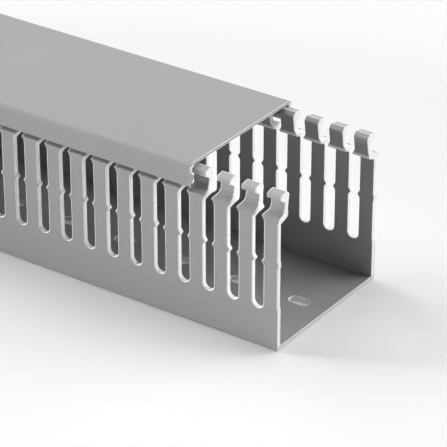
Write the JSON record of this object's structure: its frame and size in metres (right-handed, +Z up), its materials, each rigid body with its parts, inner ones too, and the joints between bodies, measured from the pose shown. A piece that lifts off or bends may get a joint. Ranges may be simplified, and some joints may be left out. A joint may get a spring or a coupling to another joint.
{
  "type": "slotted wire duct",
  "caption": "Straight open-slot cable channel with hooked finger walls, fixing slots along its floor and a clip-on cover that slides along it.",
  "frame": {"origin": "middle of the floor's underside, half way along the channel", "axes": "+X along the channel towards the end that the cover leaves bare; +Z up, from the floor to the cover"},
  "size_m": [0.5355, 0.06, 0.0596],
  "materials": {
    "duct_plastic": "matte extruded rigid PVC, light grey, with paler punched edges",
    "cover_plastic": "matte extruded rigid PVC, light grey, smooth"
  },
  "bodies": {
    "duct": {"duct_base": "duct_plastic"},
    "cover": {"cover": "cover_plastic"}
  },
  "joints": [
    {"name": "cover_slide", "type": "slide", "parent": "duct", "child": "cover", "axis": [1, 0, 0], "range_m": [-0.4, 0.0355]}
  ]
}
